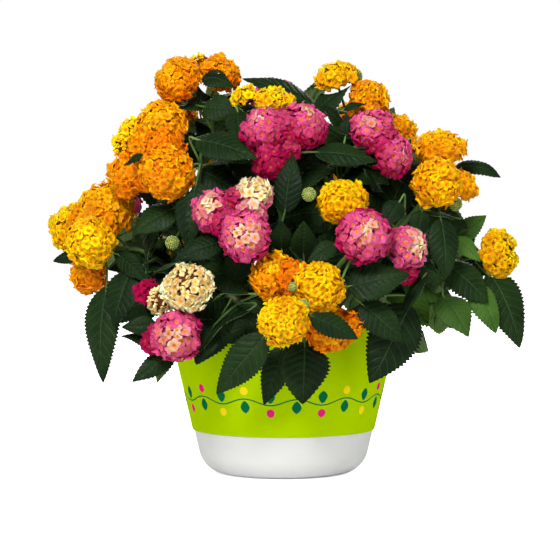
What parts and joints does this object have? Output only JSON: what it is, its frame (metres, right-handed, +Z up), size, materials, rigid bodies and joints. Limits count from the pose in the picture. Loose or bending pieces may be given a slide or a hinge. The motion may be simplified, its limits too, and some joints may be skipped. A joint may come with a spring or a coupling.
{
  "type": "potted flowering plant",
  "caption": "Bushy lantana in a round tapered pot with a lime sleeve: toothed dark leaves and domed flower heads in orange, gold, yellow, pink, cream and magenta.",
  "frame": {"origin": "centre of the pot's flat underside", "axes": "+Z up along the pot's axis, -Y towards the plant's fullest side, +X to that side's right"},
  "size_m": [0.4726, 0.4257, 0.4181],
  "materials": {
    "pot_plastic": "satin white",
    "sleeve_plastic": "satin lime",
    "soil": "rough and crumbly",
    "leaf": "slightly glossy leaf with sunken veins",
    "bloom_orange": "soft matt petals",
    "bloom_gold": "soft matt petals",
    "bloom_yellow": "soft matt petals",
    "bloom_pink": "soft matt petals",
    "bloom_cream": "soft matt petals",
    "bloom_magenta": "soft matt petals"
  },
  "bodies": {
    "root": {"pot": "pot_plastic", "wrap": "sleeve_plastic", "soil": "soil", "stem_top_left": "leaf", "stem_upper_left": "leaf", "stem_left": "leaf", "stem_front_left": "leaf", "stem_low_left": "leaf", "stem_top": "leaf", "stem_top_right": "leaf", "stem_right": "leaf", "stem_low_right": "leaf", "stem_front_right": "leaf", "stem_low_front": "leaf", "stem_back_left": "leaf", "stem_back": "leaf", "stem_back_right": "leaf", "head_01_orange": "bloom_orange", "head_02_orange": "bloom_orange", "head_03_yellow": "bloom_yellow", "head_04_orange": "bloom_orange", "head_05_orange": "bloom_orange", "head_06_orange": "bloom_orange", "head_07_gold": "bloom_gold", "head_08_yellow": "bloom_yellow", "head_09_yellow": "bloom_yellow", "head_10_orange": "bloom_orange", "head_11_pink": "bloom_pink", "head_12_cream": "bloom_cream", "head_13_pink": "bloom_pink", "head_14_pink": "bloom_pink", "head_15_pink": "bloom_pink", "head_16_yellow": "bloom_yellow", "head_17_orange": "bloom_orange", "head_18_gold": "bloom_gold", "head_19_gold": "bloom_gold", "head_20_gold": "bloom_gold", "head_21_orange": "bloom_orange", "head_22_yellow": "bloom_yellow", "head_23_pink": "bloom_pink", "head_24_pink": "bloom_pink", "head_25_yellow": "bloom_yellow", "head_26_orange": "bloom_orange", "head_27_yellow": "bloom_yellow", "head_28_yellow": "bloom_yellow", "head_29_orange": "bloom_orange", "head_30_cream": "bloom_cream", "head_31_cream": "bloom_cream", "head_32_pink": "bloom_pink", "head_33_magenta": "bloom_magenta", "head_34_gold": "bloom_gold", "head_35_pink": "bloom_pink", "head_36_orange": "bloom_orange", "head_37_yellow": "bloom_yellow", "head_38_pink": "bloom_pink", "head_39_orange": "bloom_orange", "head_40_yellow": "bloom_yellow", "head_41_gold": "bloom_gold", "head_42_pink": "bloom_pink", "head_43_orange": "bloom_orange"}
  },
  "joints": []
}
